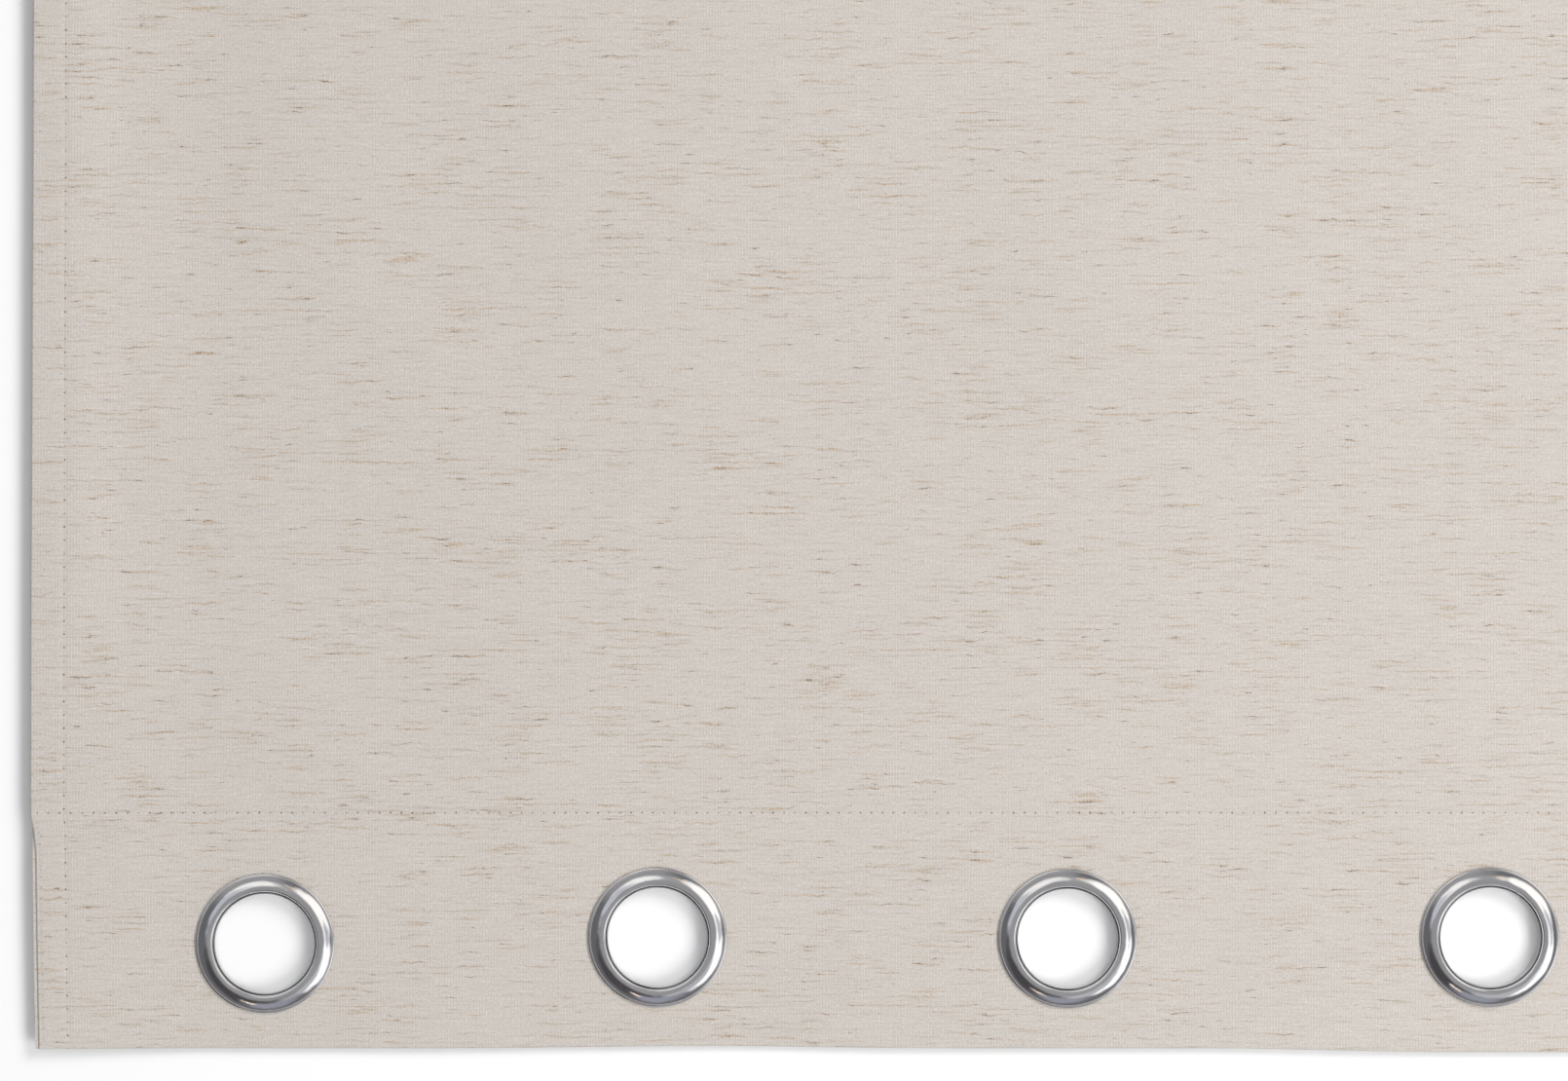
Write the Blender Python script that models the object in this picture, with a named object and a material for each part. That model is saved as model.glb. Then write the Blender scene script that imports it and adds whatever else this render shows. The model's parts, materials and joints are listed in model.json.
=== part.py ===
"""Grommet-top curtain panel, laid flat with its back on the ground.

The panel lies in the XY plane: its header, with the grommets, is at -Y, its bottom hem at +Y and
its side hems at -X and +X. Z = 0 is the surface that it lies on. The cloth is one length that is
turned under at the header and at the bottom hem. It folds like an accordion, so it is divided at
the fold lines, halfway between neighbouring grommets, into one strip for each grommet.
"""

import math

import bmesh
import bpy
import numpy as np

# Driving dimensions, in metres.
PANEL_WIDTH = 1.321
PANEL_LENGTH = 2.134
CLOTH_THICKNESS = 0.0004
LAYER_GAP = 0.0003

HEADER_DEPTH = 0.096
HEM_DEPTH = 0.076
SIDE_HEM_WIDTH = 0.013
SEAM_MARGIN = 0.003
TUCK_DEPTH = 0.010
DRAPE_LENGTH = 0.100

STIFFENER_THICKNESS = 0.0005
STIFFENER_MARGIN = 0.004

SIDE_MARGIN = 0.093
FIRST_PITCHES = (0.158, 0.165, 0.170)
EVEN_PITCH_COUNT = 4
FIRST_INSETS = (0.0430, 0.0455, 0.0450, 0.0455)
EVEN_INSET = 0.0445

BORE_RADIUS = 0.020
FLANGE_WIDTH = 0.008
RING_WALL = 0.0007
BARREL_WALL = 0.0015
RING_CROWN = 0.0026
RING_LIP = 0.0012
BACK_RING_HEIGHT = 0.0010
BACK_RING_EDGE = 0.0003
BARREL_CLEARANCE = 0.0003
CLOTH_HOLE_CLEARANCE = 0.0005

THREAD_DIAMETER = 0.00035
HEADER_END_SEAM_INSET = 0.0033
THREAD_END_INSET = 0.002

FOLD_AXIS_CLEARANCE = 0.0002
ROUND_SEGMENTS = 32
CROWN_STEPS = 6
THREAD_BEVEL_RESOLUTION = 1
TURN_STEPS = 4
DRAPE_STEPS = 8

# Places that follow from the sizes.
LEFT_EDGE = -PANEL_WIDTH / 2
RIGHT_EDGE = PANEL_WIDTH / 2
HEADER_EDGE = -PANEL_LENGTH / 2
HEM_EDGE = PANEL_LENGTH / 2
HALF_CLOTH = CLOTH_THICKNESS / 2
LAYER_STEP = CLOTH_THICKNESS + LAYER_GAP

# Heights of the middle of each layer of cloth, from the ground up.
HEM_BACK_Z = HALF_CLOTH
HEM_TUCK_Z = HEM_BACK_Z + LAYER_STEP
BODY_FRONT_Z = HEM_TUCK_Z + LAYER_STEP
FACING_Z = BACK_RING_HEIGHT + LAYER_GAP + HALF_CLOTH
FACING_TUCK_Z = FACING_Z + LAYER_STEP
STIFFENER_Z = FACING_Z + HALF_CLOTH + LAYER_GAP + STIFFENER_THICKNESS / 2
HEADER_FRONT_Z = STIFFENER_Z + STIFFENER_THICKNESS / 2 + LAYER_GAP + HALF_CLOTH
HEADER_TOP_Z = HEADER_FRONT_Z + HALF_CLOTH
THREAD_RISE = HALF_CLOTH + LAYER_GAP + THREAD_DIAMETER / 2

HEADER_TURN_Y = HEADER_EDGE + HEADER_DEPTH + SEAM_MARGIN
HEM_TURN_Y = HEM_EDGE - HEM_DEPTH - SEAM_MARGIN

BARREL_RADIUS = BORE_RADIUS + BARREL_WALL
CLOTH_HOLE_RADIUS = BARREL_RADIUS + CLOTH_HOLE_CLEARANCE
RING_RADIUS = BORE_RADIUS + FLANGE_WIDTH


def grommet_positions():
    """X of each grommet: the first pitches as they are set, and the rest of the width shared evenly."""
    rest = PANEL_WIDTH - 2 * SIDE_MARGIN - sum(FIRST_PITCHES)
    pitches = list(FIRST_PITCHES) + [rest / EVEN_PITCH_COUNT] * EVEN_PITCH_COUNT
    places = [LEFT_EDGE + SIDE_MARGIN]
    for pitch in pitches:
        places.append(places[-1] + pitch)
    return places


def grommet_insets():
    """How far in from the header's edge each grommet is: the first ones as they are set."""
    return list(FIRST_INSETS) + [EVEN_INSET] * (len(GROMMET_X) - len(FIRST_INSETS))


GROMMET_X = grommet_positions()
GROMMET_Y = [HEADER_EDGE + inset for inset in grommet_insets()]
FOLD_X = [(left + right) / 2 for left, right in zip(GROMMET_X, GROMMET_X[1:])]


def fold_axis_height(fold):
    """Folds 1, 3, 5 and 7 close on the front face, and folds 2, 4 and 6 on the back face."""
    if fold % 2 == 1:
        return HEADER_FRONT_Z + THREAD_RISE + THREAD_DIAMETER / 2 + FOLD_AXIS_CLEARANCE
    return -FOLD_AXIS_CLEARANCE


def strip_span(strip):
    """The left and right edges in X of one strip, short of the fold lines by half of the gap."""
    left = LEFT_EDGE if strip == 1 else FOLD_X[strip - 2] + LAYER_GAP / 2
    right = RIGHT_EDGE if strip == len(GROMMET_X) else FOLD_X[strip - 1] - LAYER_GAP / 2
    return left, right


def make_material(name, color, roughness, metallic=0.0):
    material = bpy.data.materials.new(name)
    material.use_nodes = True
    shader = material.node_tree.nodes["Principled BSDF"]
    shader.inputs["Base Color"].default_value = (*color, 1.0)
    shader.inputs["Roughness"].default_value = roughness
    shader.inputs["Metallic"].default_value = metallic
    return material


def new_object(name, mesh, material, origin, carrier):
    """Puts a mesh, built about its own origin, at a place in the world, under its carrier."""
    item = bpy.data.objects.new(name, mesh)
    bpy.context.scene.collection.objects.link(item)
    mesh.materials.append(material)
    item.parent = carrier
    item.location = [place - base for place, base in zip(origin, carrier["axis_place"])]
    return item


def turn(center_y, center_z, radius, start_degrees, end_degrees):
    """Points of a round turn of the cloth, seen from the side, in Y and Z."""
    angles = np.radians(np.linspace(start_degrees, end_degrees, TURN_STEPS + 1))
    return [(center_y + radius * math.cos(a), center_z + radius * math.sin(a)) for a in angles]


def drape_height(y):
    """Height of the front layer: level over the header, then a smooth fall to the body's height."""
    share = min(max((y - HEADER_TURN_Y) / DRAPE_LENGTH, 0.0), 1.0)
    fall = (1 - math.cos(math.pi * share)) / 2
    return HEADER_FRONT_Z + (BODY_FRONT_Z - HEADER_FRONT_Z) * fall


def cloth_path():
    """The whole cloth from the side: header tuck, facing, front, bottom turn, hem and hem tuck."""
    tuck_radius = LAYER_STEP / 2
    header_radius = (HEADER_FRONT_Z - FACING_Z) / 2
    hem_radius = (BODY_FRONT_Z - HEM_BACK_Z) / 2
    path = [(HEADER_TURN_Y - TUCK_DEPTH, FACING_TUCK_Z)]
    path += turn(HEADER_TURN_Y - tuck_radius, FACING_Z + tuck_radius, tuck_radius, 90, -90)
    path += turn(HEADER_EDGE + HALF_CLOTH + header_radius, FACING_Z + header_radius,
                 header_radius, 270, 90)
    stations = np.linspace(HEADER_TURN_Y, HEADER_TURN_Y + DRAPE_LENGTH, DRAPE_STEPS + 1)
    path += [(y, drape_height(y)) for y in stations]
    path += turn(HEM_EDGE - HALF_CLOTH - hem_radius, HEM_BACK_Z + hem_radius, hem_radius, 90, -90)
    path += turn(HEM_TURN_Y + tuck_radius, HEM_BACK_Z + tuck_radius, tuck_radius, 270, 90)
    path.append((HEM_TURN_Y + TUCK_DEPTH, HEM_TUCK_Z))
    return path


def sheet_mesh(name, rows):
    """A surface through rows of points, which all hold the same number of points."""
    mesh = bpy.data.meshes.new(name)
    count = len(rows[0])
    points = [point for row in rows for point in row]
    faces = []
    for i in range(len(rows) - 1):
        for j in range(count - 1):
            corner = i * count + j
            faces.append((corner, corner + 1, corner + count + 1, corner + count))
    mesh.from_pydata(points, [], faces)
    return mesh


def add_thickness(item, thickness):
    solidify = item.modifiers.new("thickness", "SOLIDIFY")
    solidify.thickness = thickness
    solidify.offset = 0.0
    solidify.use_even_offset = True


def hole_cutter(strip, carrier):
    """A plain round bar through the header, which cuts the hole for one grommet's barrel."""
    mesh = bpy.data.meshes.new("header_hole_%d" % strip)
    shape = bmesh.new()
    bmesh.ops.create_cone(shape, cap_ends=True, segments=ROUND_SEGMENTS, radius1=CLOTH_HOLE_RADIUS,
                          radius2=CLOTH_HOLE_RADIUS, depth=4 * HEADER_TOP_Z)
    shape.to_mesh(mesh)
    shape.free()
    cutter = bpy.data.objects.new(mesh.name, mesh)
    bpy.context.scene.collection.objects.link(cutter)
    cutter.parent = carrier
    place = (GROMMET_X[strip - 1], GROMMET_Y[strip - 1], HEADER_FRONT_Z)
    cutter.location = [value - base for value, base in zip(place, carrier["axis_place"])]
    cutter.hide_render = True
    cutter.display_type = "WIRE"
    return cutter


def cut_with(item, cutter):
    cut = item.modifiers.new("grommet_hole", "BOOLEAN")
    cut.operation = "DIFFERENCE"
    cut.solver = "EXACT"
    cut.object = cutter


def make_panel_cloth(strip, material, carrier, cutter):
    """One strip of the cloth, folded over at the header and the hem, with its grommet hole."""
    left, right = strip_span(strip)
    origin_x = GROMMET_X[strip - 1]
    rows = [[(x - origin_x, y, z) for y, z in cloth_path()] for x in (left, right)]
    item = new_object("panel_cloth_%d" % strip, sheet_mesh("panel_cloth_%d" % strip, rows),
                      material, (origin_x, 0.0, 0.0), carrier)
    add_thickness(item, CLOTH_THICKNESS)
    cut_with(item, cutter)


def make_stiffener(strip, material, carrier, cutter):
    """One length of the flat buckram that stiffens the header, between its two layers."""
    left, right = strip_span(strip)
    if strip == 1:
        left += STIFFENER_MARGIN
    if strip == len(GROMMET_X):
        right -= STIFFENER_MARGIN
    near = HEADER_EDGE + STIFFENER_MARGIN
    far = HEADER_TURN_Y - TUCK_DEPTH - STIFFENER_MARGIN
    origin_x = GROMMET_X[strip - 1]
    rows = [[(x - origin_x, y, 0.0) for y in (near, far)] for x in (left, right)]
    item = new_object("header_stiffener_%d" % strip, sheet_mesh("header_stiffener_%d" % strip, rows),
                      material, (origin_x, 0.0, STIFFENER_Z), carrier)
    add_thickness(item, STIFFENER_THICKNESS)
    cut_with(item, cutter)


def turned_mesh(name, profile):
    """A closed ring: a closed outline of radius and height, carried round the Z axis."""
    shape = bmesh.new()
    angles = [2 * math.pi * k / ROUND_SEGMENTS for k in range(ROUND_SEGMENTS)]
    loops = [[shape.verts.new((r * math.cos(a), r * math.sin(a), z)) for r, z in profile]
             for a in angles]
    for k, loop in enumerate(loops):
        following = loops[(k + 1) % ROUND_SEGMENTS]
        for j in range(len(profile)):
            after = (j + 1) % len(profile)
            shape.faces.new((loop[j], following[j], following[after], loop[after]))
    bmesh.ops.recalc_face_normals(shape, faces=shape.faces)
    mesh = bpy.data.meshes.new(name)
    shape.to_mesh(mesh)
    shape.free()
    mesh.shade_smooth()
    mesh.set_sharp_from_angle(angle=math.radians(40))
    return mesh


def crown(inner, outer, base, height):
    """A half-oval rise from the inner radius, over the crown, to the outer radius."""
    middle = (inner + outer) / 2
    reach = (outer - inner) / 2
    angles = np.linspace(math.pi, 0, CROWN_STEPS + 1)
    return [(middle + reach * math.cos(a), base + height * math.sin(a)) for a in angles]


def make_front_ring(strip, material, carrier):
    """The front half: a hollow crowned flange that lies on the cloth, and the barrel through it."""
    seat = HEADER_TOP_Z + LAYER_GAP
    lip = RING_RADIUS - RING_LIP
    outline = [(BORE_RADIUS, LAYER_GAP)]
    outline += crown(BORE_RADIUS, lip, seat + RING_WALL, RING_CROWN - RING_WALL)
    outline += [(RING_RADIUS, seat + RING_WALL), (RING_RADIUS, seat), (lip - RING_WALL, seat)]
    hollow = crown(BARREL_RADIUS, lip - RING_WALL, seat, RING_CROWN - RING_WALL)
    outline += hollow[-2:0:-1]
    outline += [(BARREL_RADIUS, seat), (BARREL_RADIUS, LAYER_GAP)]
    mesh = turned_mesh("grommet_front_%d" % strip, outline)
    place = (GROMMET_X[strip - 1], GROMMET_Y[strip - 1], 0.0)
    new_object(mesh.name, mesh, material, place, carrier)


def make_back_ring(strip, material, carrier):
    """The back half: a flat washer with a bevelled rim, which the barrel is pressed into."""
    inner = BARREL_RADIUS + BARREL_CLEARANCE
    outline = [
        (inner, 0.0), (inner, BACK_RING_HEIGHT), (RING_RADIUS, BACK_RING_HEIGHT),
        (RING_RADIUS, BACK_RING_EDGE), (RING_RADIUS - BACK_RING_EDGE, 0.0),
    ]
    mesh = turned_mesh("grommet_back_%d" % strip, outline)
    place = (GROMMET_X[strip - 1], GROMMET_Y[strip - 1], 0.0)
    new_object(mesh.name, mesh, material, place, carrier)


def make_side_hem(name, edge, inward, material, carrier):
    """The side edge turned under twice, as it lies beneath the front from the header to the hem."""
    tuck_radius = LAYER_STEP / 2
    outer = edge + inward * HALF_CLOTH
    inner = edge + inward * (SIDE_HEM_WIDTH + SEAM_MARGIN - tuck_radius)
    across = [(outer, HEM_BACK_Z)]
    for a in np.radians(np.linspace(-90, 90, TURN_STEPS + 1)):
        across.append((inner + inward * tuck_radius * math.cos(a),
                       HEM_BACK_Z + tuck_radius + tuck_radius * math.sin(a)))
    across.append((inner - inward * TUCK_DEPTH, HEM_TUCK_Z))
    start = HEADER_TURN_Y + HALF_CLOTH + LAYER_GAP
    stations = list(np.linspace(start, HEADER_TURN_Y + DRAPE_LENGTH, DRAPE_STEPS + 1))
    stations.append(HEM_TURN_Y - HALF_CLOTH - LAYER_GAP)
    rows = [[(x - edge, y, z + drape_height(y) - BODY_FRONT_Z) for x, z in across]
            for y in stations]
    item = new_object(name, sheet_mesh(name, rows), material, (edge, 0.0, 0.0), carrier)
    add_thickness(item, CLOTH_THICKNESS)


def make_thread(name, points, material, carrier):
    """The top thread of one seam: a plain line through world points, close over the cloth."""
    line = bpy.data.curves.new(name, "CURVE")
    line.dimensions = "3D"
    line.bevel_depth = THREAD_DIAMETER / 2
    line.bevel_resolution = THREAD_BEVEL_RESOLUTION
    line.use_fill_caps = True
    spline = line.splines.new("POLY")
    spline.points.add(len(points) - 1)
    origin = points[0]
    for point, place in zip(spline.points, points):
        point.co = (*[value - base for value, base in zip(place, origin)], 1.0)
    new_object(name, line, material, origin, carrier)


def make_cross_seams(strip, material, carrier):
    """One strip's share of the two seams that run from side to side: the header's and the hem's."""
    left, right = strip_span(strip)
    if strip == 1:
        left += THREAD_END_INSET
    if strip == len(GROMMET_X):
        right -= THREAD_END_INSET
    header_y = HEADER_EDGE + HEADER_DEPTH
    hem_y = HEM_EDGE - HEM_DEPTH
    header_line = [(x, header_y, HEADER_FRONT_Z + THREAD_RISE) for x in (left, right)]
    hem_line = [(x, hem_y, BODY_FRONT_Z + THREAD_RISE) for x in (left, right)]
    make_thread("header_seam_thread_%d" % strip, header_line, material, carrier)
    make_thread("hem_seam_thread_%d" % strip, hem_line, material, carrier)


def make_side_seams(side, edge, inward, material, carrier):
    """The seam that holds one side hem, and the short one that closes the header's open end."""
    side_x = edge + inward * SIDE_HEM_WIDTH
    start = HEADER_TURN_Y + THREAD_END_INSET
    stations = list(np.linspace(start, HEADER_TURN_Y + DRAPE_LENGTH, DRAPE_STEPS + 1))
    stations.append(HEM_TURN_Y - THREAD_END_INSET)
    side_line = [(side_x, y, drape_height(y) + THREAD_RISE) for y in stations]
    make_thread("%s_hem_thread" % side, side_line, material, carrier)
    end_x = edge + inward * HEADER_END_SEAM_INSET
    ends = (HEADER_EDGE + THREAD_END_INSET, HEADER_EDGE + HEADER_DEPTH - THREAD_END_INSET)
    end_line = [(end_x, y, HEADER_FRONT_Z + THREAD_RISE) for y in ends]
    make_thread("%s_header_end_thread" % side, end_line, material, carrier)


def make_carriers():
    """One empty for each strip, on the line that it folds about, each carried by the one before."""
    carriers = []
    for strip in range(1, len(GROMMET_X) + 1):
        place = (0.0, 0.0, 0.0)
        if strip > 1:
            place = (FOLD_X[strip - 2], 0.0, fold_axis_height(strip - 1))
        empty = bpy.data.objects.new("carrier_%d" % strip, None)
        bpy.context.scene.collection.objects.link(empty)
        empty["axis_place"] = place
        empty.location = place
        if carriers:
            empty.parent = carriers[-1]
            empty.location = [own - base for own, base in zip(place, carriers[-1]["axis_place"])]
        carriers.append(empty)
    return carriers


def build():
    for item in list(bpy.data.objects):
        bpy.data.objects.remove(item)
    cloth = make_material("linen_cloth", (0.62, 0.57, 0.50), 0.9)
    buckram = make_material("white_buckram", (0.86, 0.86, 0.84), 0.8)
    chrome = make_material("chrome", (0.80, 0.81, 0.83), 0.12, 1.0)
    cotton = make_material("sewing_thread", (0.66, 0.61, 0.54), 0.8)
    carriers = make_carriers()
    for strip, carrier in enumerate(carriers, start=1):
        cutter = hole_cutter(strip, carrier)
        make_panel_cloth(strip, cloth, carrier, cutter)
        make_stiffener(strip, buckram, carrier, cutter)
        make_front_ring(strip, chrome, carrier)
        make_back_ring(strip, chrome, carrier)
        make_cross_seams(strip, cotton, carrier)
    make_side_hem("left_side_hem", LEFT_EDGE, 1, cloth, carriers[0])
    make_side_hem("right_side_hem", RIGHT_EDGE, -1, cloth, carriers[-1])
    make_side_seams("left", LEFT_EDGE, 1, cotton, carriers[0])
    make_side_seams("right", RIGHT_EDGE, -1, cotton, carriers[-1])


build()
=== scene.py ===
"""A grommet-top linen curtain panel, laid out flat on a pale table with its face up.

The panel is one length of slubbed cloth, turned over a stiff band at the header, hemmed at the
bottom and at both sides, and set with chrome grommets. It is built here piece by piece round the
fixed frame. All sizes are in metres. X runs along the header, Y from the header to the bottom hem.
"""

import json
import math

import bpy
import numpy as np
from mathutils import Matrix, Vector

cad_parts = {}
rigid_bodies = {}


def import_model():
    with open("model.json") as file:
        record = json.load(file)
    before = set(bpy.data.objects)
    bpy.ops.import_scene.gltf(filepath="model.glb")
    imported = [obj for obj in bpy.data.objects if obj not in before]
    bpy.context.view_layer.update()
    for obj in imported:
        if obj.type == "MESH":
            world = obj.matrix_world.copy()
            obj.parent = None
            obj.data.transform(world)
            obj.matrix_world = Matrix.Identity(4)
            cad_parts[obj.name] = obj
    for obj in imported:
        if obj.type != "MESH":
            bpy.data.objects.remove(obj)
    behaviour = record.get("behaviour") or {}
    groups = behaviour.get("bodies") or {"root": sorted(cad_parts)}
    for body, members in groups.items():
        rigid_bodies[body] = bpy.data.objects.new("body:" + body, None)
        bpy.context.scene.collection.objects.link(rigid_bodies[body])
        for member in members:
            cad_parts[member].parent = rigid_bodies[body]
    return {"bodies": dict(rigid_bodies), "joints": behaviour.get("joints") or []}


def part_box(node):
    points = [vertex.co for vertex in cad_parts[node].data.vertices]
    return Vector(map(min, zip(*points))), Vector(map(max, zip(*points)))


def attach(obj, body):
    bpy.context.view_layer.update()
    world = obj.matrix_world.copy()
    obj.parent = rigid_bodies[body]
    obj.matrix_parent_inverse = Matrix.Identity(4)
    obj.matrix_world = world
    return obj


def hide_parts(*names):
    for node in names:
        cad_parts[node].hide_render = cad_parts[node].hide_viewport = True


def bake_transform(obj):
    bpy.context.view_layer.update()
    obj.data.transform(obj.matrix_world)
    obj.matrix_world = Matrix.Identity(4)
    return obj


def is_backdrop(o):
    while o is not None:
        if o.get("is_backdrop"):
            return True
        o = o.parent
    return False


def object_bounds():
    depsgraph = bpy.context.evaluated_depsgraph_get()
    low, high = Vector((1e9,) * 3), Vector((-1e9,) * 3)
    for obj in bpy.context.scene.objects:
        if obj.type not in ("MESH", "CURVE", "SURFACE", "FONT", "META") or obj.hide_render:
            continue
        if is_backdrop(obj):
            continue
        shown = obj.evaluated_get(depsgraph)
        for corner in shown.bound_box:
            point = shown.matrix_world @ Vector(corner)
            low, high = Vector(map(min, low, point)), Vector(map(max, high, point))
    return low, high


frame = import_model()
cad_low, cad_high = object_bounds()


# ---------------------------------------------------------------------------------------------
# Panel cloth. One length of slubbed linen-look cloth in plain weave. Its top is turned over to the
# back as a deep header, its foot is turned up as a double hem, and it lies nearly flat. It is one
# cloth, cut here into a piece for each grommet, and each piece reaches just past the next fold line.

STRIPS = range(1, len(frame["bodies"]) + 1)
FOLDS = {joint["child"]: joint for joint in frame["joints"]}
FOLD_X = [FOLDS["strip_%d" % strip]["pos_m"][0] for strip in STRIPS[1:]]

CLOTH_THICKNESS = 0.0004
LAYER_STEP = 0.0007
HEADER_STACK = 0.0015
HEM_STACK = 2 * LAYER_STEP
SEAM_MARGIN = 0.003
TUCK_DEPTH = 0.010
FOLD_REACH = 0.012
CLOTH_HOLE_RADIUS = 0.0222

LEFT_EDGE = cad_low.x
RIGHT_EDGE = cad_high.x
HEADER_EDGE = cad_low.y + CLOTH_THICKNESS / 2
HEM_EDGE = cad_high.y - CLOTH_THICKNESS / 2
HEADER_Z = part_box("panel_cloth_1")[1].z - CLOTH_THICKNESS / 2
HEADER_SEAM_Y = sum(corner.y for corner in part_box("header_seam_thread_2")) / 2
HEM_SEAM_Y = sum(corner.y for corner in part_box("hem_seam_thread_2")) / 2
HEADER_TURN_Y = HEADER_SEAM_Y + SEAM_MARGIN
HEM_TURN_Y = HEM_SEAM_Y - SEAM_MARGIN
GROMMET_PLACES = [
    [(low + high) / 2 for low, high in zip(*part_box("grommet_back_%d" % strip))] for strip in STRIPS
]

BODY_Z = 0.0009
HEM_Z = 0.00175
DRAPE_LENGTH = 0.130
HEM_DRAPE = 0.030
SIDE_DRAPE = 0.022
SIDE_HEM_WIDTH = 0.0165
EDGE_LIFT = 0.0034
EDGE_LIFT_REACH = 0.075
EDGE_ROUND = 0.0007
SIDE_SHIFT_REACH = 0.045
HEADER_SHIFT_REACH = 0.060
FACING_PEEP = 0.0014
FACING_PEEP_REACH = 0.014
PRESSED_SHARE = 0.62
PRESSED_REACH = 0.008

HELD_FLAT_RADIUS = 0.026
SETTLING_LENGTH = 0.045
SEAM_GROOVE_WIDTH = 0.0012
HEADER_GROOVE = 0.00022
HEM_GROOVE = 0.00015
SIDE_GROOVE = 0.00012
SWELLS = [  # height, wavelength across the cloth, wavelength along it, and phase
    (0.00016, 0.310, 0.900, 0.6),
    (0.00013, 0.173, -0.640, 2.1),
    (0.00009, 0.094, 0.270, 4.0),
    (0.00012, -1.100, 0.215, 1.2),
    (0.00007, 0.210, 0.118, 5.2),
]


def smooth_step(t):
    """0 below 0 and 1 above 1, with a smooth rise between: three squares less two cubes."""
    t = np.clip(t, 0.0, 1.0)
    return t * t * (3 - 2 * t)


def side_distance(x):
    """How far each place is from the nearer side edge."""
    return np.minimum(x - LEFT_EDGE, RIGHT_EDGE - x)


def calm(x, y):
    """1 on open cloth, and down to 0 close round each grommet, where the cloth is held flat."""
    quiet = np.ones(np.broadcast(x, y).shape)
    for place in GROMMET_PLACES:
        away = np.hypot(x - place[0], y - place[1])
        quiet = quiet * smooth_step((away - HELD_FLAT_RADIUS) / SETTLING_LENGTH)
    return quiet


def slack(x, y):
    """The lie of relaxed cloth: the sum of a few long shallow sine swells that cross each other."""
    return sum(height * np.sin(2 * np.pi * (x / across + y / onward) + phase)
               for height, across, onward, phase in SWELLS)


def seam_dip(away, depth):
    """A seam pulls the cloth down along its line: a shallow bell-shaped groove."""
    return depth * np.exp(-(away / SEAM_GROOVE_WIDTH) ** 2)


def front_height(x, y):
    """Height of the middle of the front layer: high on the stiff header, falling to the ground
    beyond its seam, and lifted again where the side hems and the bottom hem lie beneath it."""
    fall = smooth_step((y - HEADER_TURN_Y + 0.004) / DRAPE_LENGTH)
    over_side = 1 - smooth_step((side_distance(x) - SIDE_HEM_WIDTH) / SIDE_DRAPE)
    over_hem = smooth_step((y - HEM_TURN_Y + HEM_DRAPE) / HEM_DRAPE)
    body = BODY_Z + (HEM_Z - BODY_Z) * np.maximum(over_side, over_hem)
    lift = EDGE_LIFT * (1 - smooth_step(side_distance(x) / EDGE_LIFT_REACH)) * (0.65 + 0.35 * fall)
    height = HEADER_Z + (body - HEADER_Z) * fall + lift
    height = height + slack(x, y) * calm(x, y) * (1 - 0.6 * np.maximum(over_side, over_hem))
    height = height - seam_dip(y - HEADER_SEAM_Y, HEADER_GROOVE)
    height = height - seam_dip(y - HEM_SEAM_Y, HEM_GROOVE)
    return height - seam_dip(side_distance(x) - SIDE_SEAM_IN, SIDE_GROOVE)


def header_edge_shift(x):
    """The header's edge isn't quite straight: it bows in between two grommets and dips out past
    the third, by a millimetre or so, before it runs straight again."""
    away = x - LEFT_EDGE
    bow_in = 0.0007 + 0.0010 * np.exp(-(((away - 0.269) / 0.060) ** 2))
    dip_out = 0.0016 * smooth_step((away - 0.470) / 0.110)
    return (bow_in - dip_out) * (1 - smooth_step((away - 0.750) / 0.250))


def side_edge_shift(y):
    """The side edge bows out a little past the header's seam, steps in where the header starts,
    and leans further in towards the header's corner."""
    bow = -0.0011 * smooth_step((HEADER_SEAM_Y + 0.330 - y) / 0.300)
    step = 0.0007 * smooth_step((HEADER_SEAM_Y - 0.0010 - y) / 0.0060)
    return bow + step + 0.0013 * np.clip((HEADER_SEAM_Y - y) / 0.096, 0, 1) ** 1.5


def lie(x, y, drop):
    """The place of cloth that is drop below the front layer at (x, y), edges shifted as they lie.
    The header's ends are pressed together, and there the facing peeps out past the front."""
    inward = side_distance(x)
    near_side = 1 - smooth_step(inward / SIDE_SHIFT_REACH)
    near_header = 1 - smooth_step((y - HEADER_EDGE) / HEADER_SHIFT_REACH)
    sign = np.where(x < 0, 1.0, -1.0)
    in_header = smooth_step((HEADER_SEAM_Y + 0.001 - y) / 0.020)
    share = np.clip(1 - drop / HEADER_STACK, 0, 1)
    peep = FACING_PEEP * in_header * share * (1 - smooth_step(inward / FACING_PEEP_REACH))
    shift_x = (side_edge_shift(y) * near_side + peep) * sign
    shift_y = header_edge_shift(x) * near_header
    pressed = 1 - PRESSED_SHARE * (1 - smooth_step(inward / PRESSED_REACH)) * in_header
    off_edge = np.clip(1 - inward / EDGE_ROUND, 0, 1)
    rounded = EDGE_ROUND * (1 - np.sqrt(1 - (0.95 * off_edge) ** 2)) * share
    height = front_height(x, y) - drop * pressed - rounded
    return np.stack([x + shift_x, y + shift_y, height], axis=-1)


def turn(center_y, radius, start_degrees, end_degrees, steps):
    """Y and drop of a round turn, whose highest point is level with the front layer at drop 0."""
    angles = np.radians(np.linspace(start_degrees, end_degrees, steps + 1))
    return np.stack([center_y + radius * np.cos(angles), radius - radius * np.sin(angles)], axis=1)


def run(start_y, end_y, spacing, drop):
    """Evenly spaced Y stations at one drop, as near to the spacing as divides the run."""
    count = max(2, int(round(abs(end_y - start_y) / spacing)) + 1)
    stations = np.linspace(start_y, end_y, count)
    return np.stack([stations, np.full(count, drop)], axis=1)


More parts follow.
